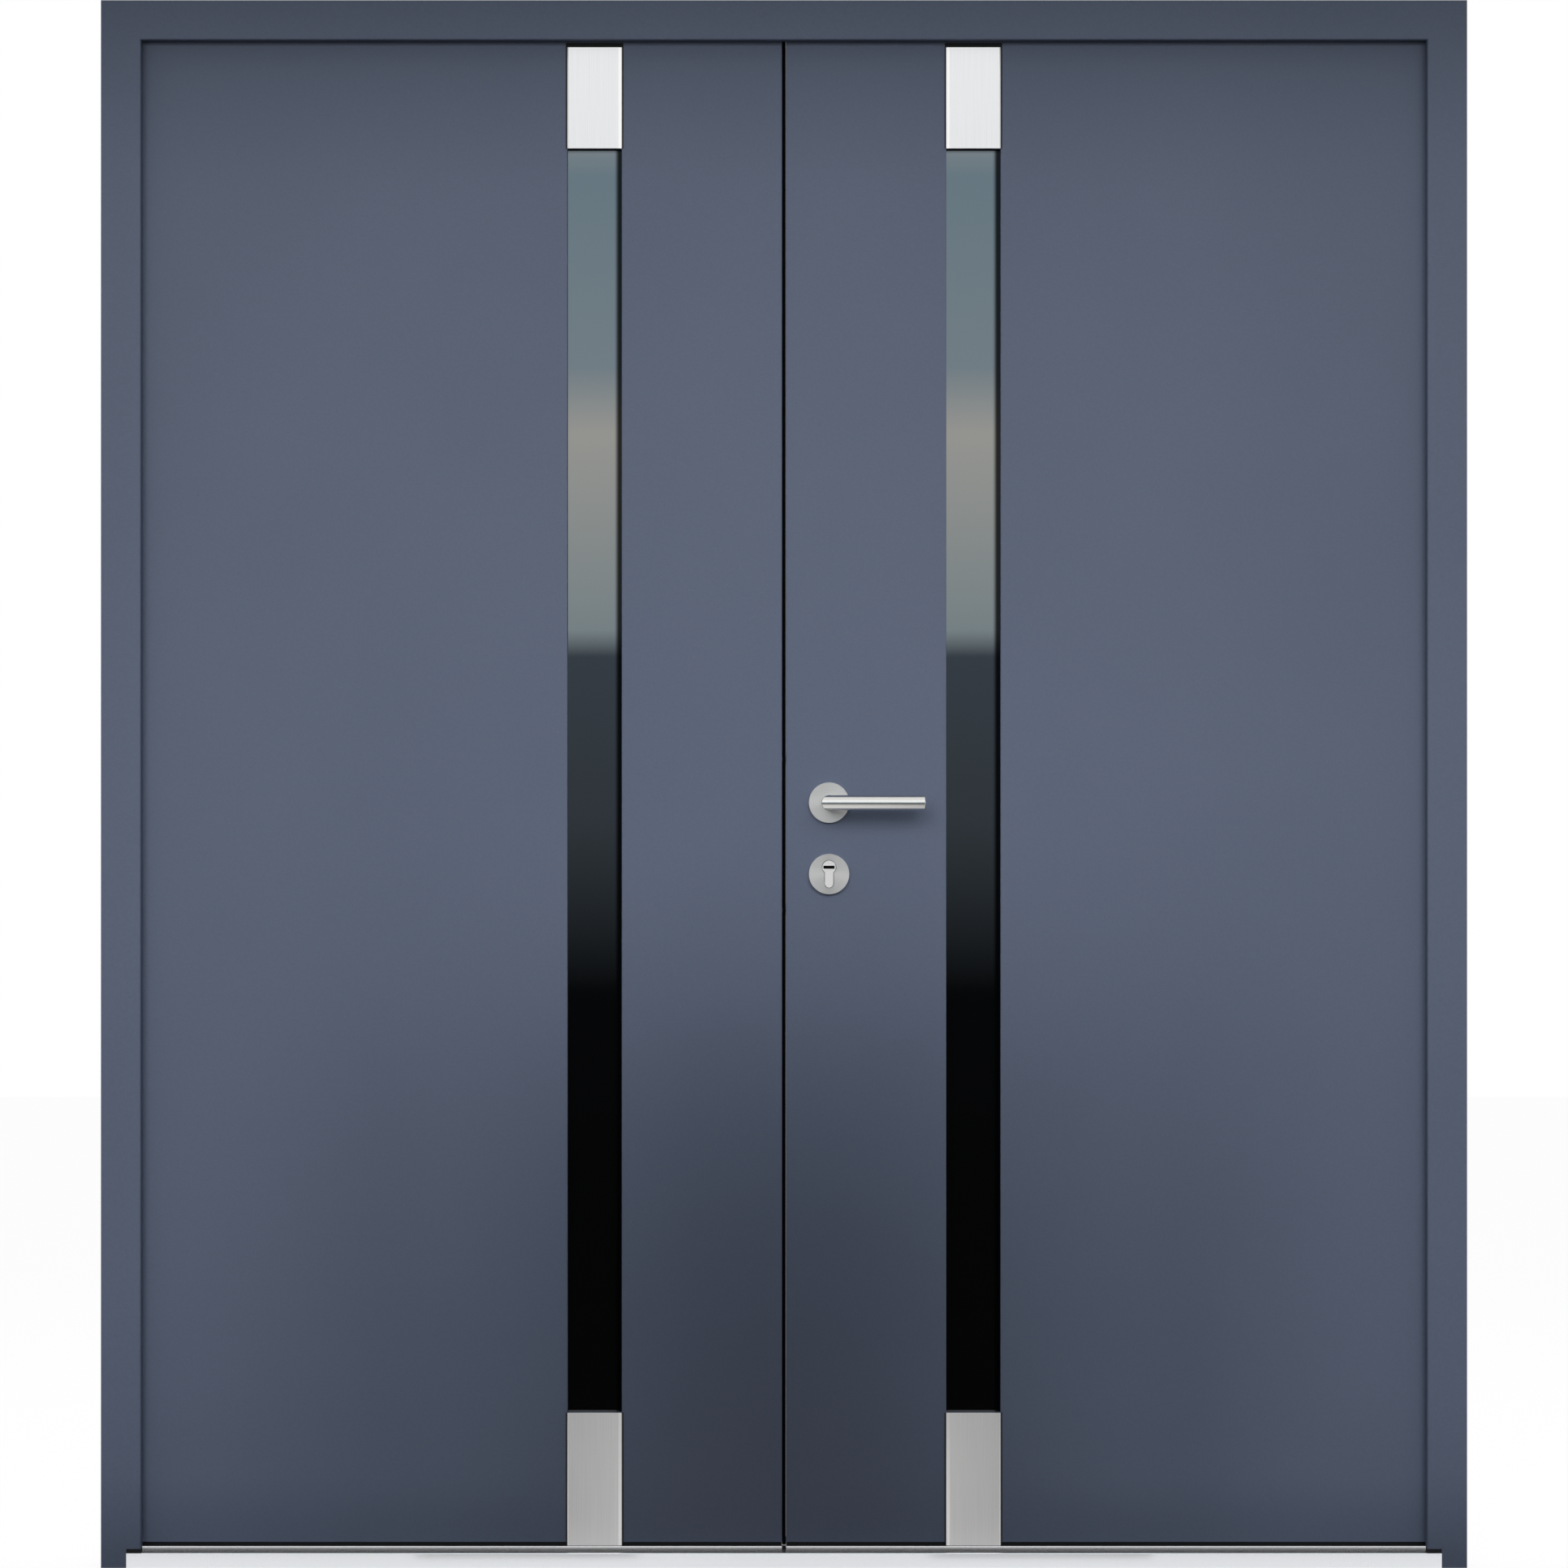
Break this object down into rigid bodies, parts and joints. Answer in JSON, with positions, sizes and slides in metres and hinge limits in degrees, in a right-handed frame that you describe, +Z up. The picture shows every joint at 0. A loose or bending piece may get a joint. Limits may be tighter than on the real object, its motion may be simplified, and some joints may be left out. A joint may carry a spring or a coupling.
{
  "type": "steel entrance double door",
  "caption": "Double entrance door in a rebated steel frame: flush inward-opening leaves with tall narrow glass strips between stainless plates, a lever handle and a cylinder lock.",
  "frame": {"origin": "middle of the threshold's underside, at half the frame's depth", "axes": "+X to the right seen from outside, +Y into the building, +Z up"},
  "size_m": [1.83, 0.179, 2.1],
  "materials": {
    "paint": "matte powder coat",
    "core": "foam block with plastic edge",
    "glass": "dark tinted",
    "spacer": "black warm-edge bar",
    "plate": "brushed",
    "rubber": "matte",
    "threshold": "anodised",
    "hinge": "satin",
    "lock": "satin",
    "handle": "satin",
    "cylinder": "satin nickel"
  },
  "bodies": {
    "frame": {"left_jamb": "paint", "right_jamb": "paint", "header": "paint", "threshold": "threshold", "frame_gasket": "rubber", "jamb_foot_pads": "rubber", "left_frame_hinges": "hinge", "right_frame_hinges": "hinge"},
    "left_leaf": {"left_outer_skin": "paint", "left_core": "core", "left_inner_skin": "paint", "left_outer_glass": "glass", "left_inner_glass": "glass", "left_glass_spacer": "spacer", "left_top_plate": "plate", "left_bottom_plate": "plate", "left_inner_plates": "plate", "left_plate_beds": "rubber", "left_leaf_hinges": "hinge", "left_bottom_seal": "rubber", "left_meeting_seal": "rubber", "strike_plate": "lock"},
    "right_leaf": {"right_outer_skin": "paint", "right_core": "core", "right_inner_skin": "paint", "right_outer_glass": "glass", "right_inner_glass": "glass", "right_glass_spacer": "spacer", "right_top_plate": "plate", "right_bottom_plate": "plate", "right_inner_plates": "plate", "right_plate_beds": "rubber", "right_leaf_hinges": "hinge", "right_bottom_seal": "rubber", "lock_faceplate": "lock", "lock_bolts": "lock", "outer_lever_rose": "handle", "outer_cylinder_rose": "handle", "lock_cylinder": "cylinder", "inner_lever_rose": "handle", "inner_cylinder_rose": "handle"},
    "lever": {"outer_lever": "handle", "inner_lever": "handle", "lever_spindle": "lock"}
  },
  "joints": [
    {"name": "left_leaf_swing", "type": "hinge", "parent": "frame", "child": "left_leaf", "pos_m": [-0.8785, 0.0475, 1.046], "axis": [0, 0, 1], "range_deg": [0, 110]},
    {"name": "right_leaf_swing", "type": "hinge", "parent": "frame", "child": "right_leaf", "pos_m": [0.8785, 0.0475, 1.046], "axis": [0, 0, -1], "range_deg": [0, 110]},
    {"name": "lever_turn", "type": "hinge", "parent": "right_leaf", "child": "lever", "pos_m": [0.0605, 0.01, 1.025], "axis": [0, 1, 0], "range_deg": [0, 40], "stiffness_Nm_per_rad": 1.5, "springref_deg": -34.38}
  ]
}
